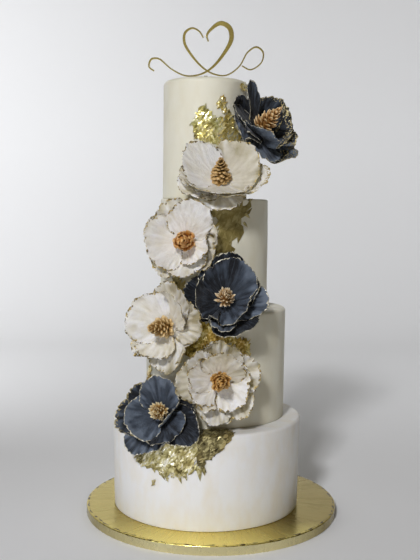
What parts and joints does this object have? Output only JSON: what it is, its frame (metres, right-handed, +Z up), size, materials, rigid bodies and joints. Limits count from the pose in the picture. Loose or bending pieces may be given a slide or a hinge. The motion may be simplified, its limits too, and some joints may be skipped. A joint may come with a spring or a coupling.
{
  "type": "tiered wedding cake",
  "caption": "Tall round tiered wedding cake in cream icing on a gold drum, with a fall of open white and navy sugar flowers, pressed gold leaf and a thin gilt heart topper.",
  "frame": {"origin": "centre of the drum's underside, on the surface that the cake stands on", "axes": "+Z up through the tiers, -Y towards the front with the flowers, +X to the viewer's right"},
  "size_m": [0.3556, 0.3556, 0.6888],
  "materials": {
    "cream_fondant": null,
    "gold_foil_board": "embossed metallic foil over a thick card drum",
    "white_petal_paste": "dry dusted sugar paste with gilded rims",
    "navy_petal_paste": "dry slate navy sugar paste with gilded rims",
    "copper_centre_paste": "satin copper lustre on sugar paste",
    "gold_mirror_acrylic": "polished gold mirror"
  },
  "bodies": {
    "root": {"drum": "gold_foil_board", "tier_1": "cream_fondant", "tier_2": "cream_fondant", "tier_3": "cream_fondant", "tier_4": "cream_fondant", "flower_1_petals": "navy_petal_paste", "flower_1_centre": "copper_centre_paste", "flower_2_petals": "white_petal_paste", "flower_2_centre": "copper_centre_paste", "flower_3_petals": "white_petal_paste", "flower_3_centre": "copper_centre_paste", "flower_4_petals": "navy_petal_paste", "flower_4_centre": "copper_centre_paste", "flower_5_petals": "white_petal_paste", "flower_5_centre": "copper_centre_paste", "flower_6_petals": "white_petal_paste", "flower_6_centre": "copper_centre_paste", "flower_7_petals": "navy_petal_paste", "flower_7_centre": "copper_centre_paste", "topper": "gold_mirror_acrylic"}
  },
  "joints": []
}
